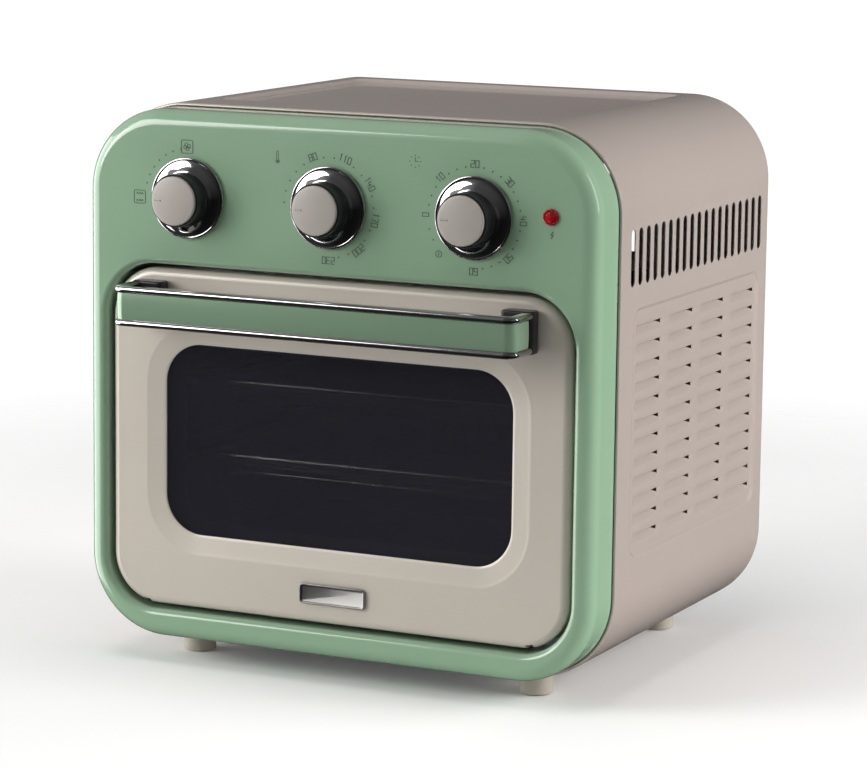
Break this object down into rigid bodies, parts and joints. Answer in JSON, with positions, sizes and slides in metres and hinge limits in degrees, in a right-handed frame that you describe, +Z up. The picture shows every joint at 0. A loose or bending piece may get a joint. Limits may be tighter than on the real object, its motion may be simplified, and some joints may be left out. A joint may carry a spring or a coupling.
{
  "type": "toaster oven",
  "caption": "Countertop toaster oven with a wrapped casing, a drop-down glass door with a strap handle, turning control knobs, wire baskets, a drip tray and a fan-forced cavity.",
  "frame": {"origin": "centre of the whole oven's box in plan, on the surface that the feet stand on", "axes": "+X to the right as seen from the front, +Y towards the back, +Z up; the door faces -Y"},
  "size_m": [0.34, 0.307, 0.341],
  "materials": {
    "casing_paint": "satin pearl beige paint",
    "door_paint": "satin pearl beige paint",
    "bezel_green": "high gloss sage green",
    "polished_chrome": "polished",
    "badge_metal": "satin, fine pebbled field",
    "black_plastic": "satin black",
    "cream_plastic": "semi gloss cream",
    "foot_rubber": "matt pale grey",
    "tinted_glass": "dark tinted, polished",
    "clear_glass": "clear, polished",
    "zinc_sheet": "zinc plated",
    "cavity_steel": "satin stainless",
    "rack_wire": "bright plated",
    "heater_steel": "heat-dulled",
    "silicone": "matt black",
    "switch_plastic": "natural",
    "red_lens": "translucent red"
  },
  "bodies": {
    "oven_body": {"outer_casing": "casing_paint", "front_bezel": "bezel_green", "cord_gland": "black_plastic", "thermal_cutout": "black_plastic", "foot_front_left": "foot_rubber", "foot_front_right": "foot_rubber", "foot_rear_left": "foot_rubber", "foot_rear_right": "foot_rubber", "base_plate": "zinc_sheet", "rear_panel": "zinc_sheet", "rear_screw_1": "zinc_sheet", "rear_screw_2": "zinc_sheet", "rear_screw_3": "zinc_sheet", "rear_screw_4": "zinc_sheet", "chassis_front": "zinc_sheet", "fan_housing": "zinc_sheet", "fan_motor": "zinc_sheet", "motor_bracket": "zinc_sheet", "hinge_bracket_left": "zinc_sheet", "hinge_bracket_right": "zinc_sheet", "cavity_liner": "cavity_steel", "rack_rail_left": "cavity_steel", "rack_rail_right": "cavity_steel", "fan_guard": "rack_wire", "heater_coil": "heater_steel", "door_gasket": "silicone", "function_switch": "switch_plastic", "thermostat_switch": "switch_plastic", "timer_switch": "switch_plastic", "lamp_holder": "switch_plastic", "lamp_lens": "red_lens"},
    "door": {"door_frame": "door_paint", "door_glass": "tinted_glass", "door_inner_glass": "clear_glass", "door_inner_panel": "cavity_steel", "badge_plate": "badge_metal", "handle_bar": "polished_chrome", "handle_inlay": "bezel_green", "handle_mount_left": "black_plastic", "handle_mount_right": "black_plastic", "hinge_pin_left": "zinc_sheet", "hinge_pin_right": "zinc_sheet"},
    "function_knob": {"function_knob_skirt": "polished_chrome", "function_knob_grip": "black_plastic", "function_knob_cap": "cream_plastic", "function_shaft": "zinc_sheet"},
    "thermostat_knob": {"thermostat_knob_skirt": "polished_chrome", "thermostat_knob_grip": "black_plastic", "thermostat_knob_cap": "cream_plastic", "thermostat_shaft": "zinc_sheet"},
    "timer_knob": {"timer_knob_skirt": "polished_chrome", "timer_knob_grip": "black_plastic", "timer_knob_cap": "cream_plastic", "timer_shaft": "zinc_sheet"},
    "fan": {"fan_shaft": "zinc_sheet", "hot_air_fan": "zinc_sheet", "cooling_fan": "zinc_sheet"},
    "upper_basket": {"upper_rack": "rack_wire"},
    "lower_basket": {"lower_rack": "rack_wire"},
    "tray": {"drip_tray": "cavity_steel"}
  },
  "joints": [
    {"name": "door_hinge", "type": "hinge", "parent": "oven_body", "child": "door", "pos_m": [0, -0.1146, 0.0485], "axis": [1, 0, 0], "range_deg": [0, 90], "stiffness_Nm_per_rad": 1.2, "springref_deg": -28.65},
    {"name": "function_turn", "type": "hinge", "parent": "oven_body", "child": "function_knob", "pos_m": [-0.097, -0.1375, 0.2873], "axis": [0, 1, 0], "range_deg": [0, 90]},
    {"name": "thermostat_turn", "type": "hinge", "parent": "oven_body", "child": "thermostat_knob", "pos_m": [-0.003, -0.1375, 0.2873], "axis": [0, 1, 0], "range_deg": [0, 270]},
    {"name": "timer_turn", "type": "hinge", "parent": "oven_body", "child": "timer_knob", "pos_m": [0.091, -0.1375, 0.2873], "axis": [0, 1, 0], "range_deg": [-45, 270]},
    {"name": "fan_spin", "type": "hinge", "parent": "oven_body", "child": "fan", "pos_m": [0, 0.0095, 0.25], "axis": [0, 0, 1], "continuous": true},
    {"name": "upper_basket_slide", "type": "slide", "parent": "oven_body", "child": "upper_basket", "axis": [0, -1, 0], "range_m": [0, 0.134]},
    {"name": "lower_basket_slide", "type": "slide", "parent": "oven_body", "child": "lower_basket", "axis": [0, -1, 0], "range_m": [0, 0.134]},
    {"name": "drip_tray_slide", "type": "slide", "parent": "oven_body", "child": "tray", "axis": [0, -1, 0], "range_m": [0, 0.0285]}
  ],
  "couplings": [
    {"joint": "upper_basket_slide", "follows": "door_hinge", "m_per_rad": 0.085},
    {"joint": "lower_basket_slide", "follows": "door_hinge", "m_per_rad": 0.085},
    {"joint": "drip_tray_slide", "follows": "door_hinge", "m_per_rad": 0.018}
  ]
}
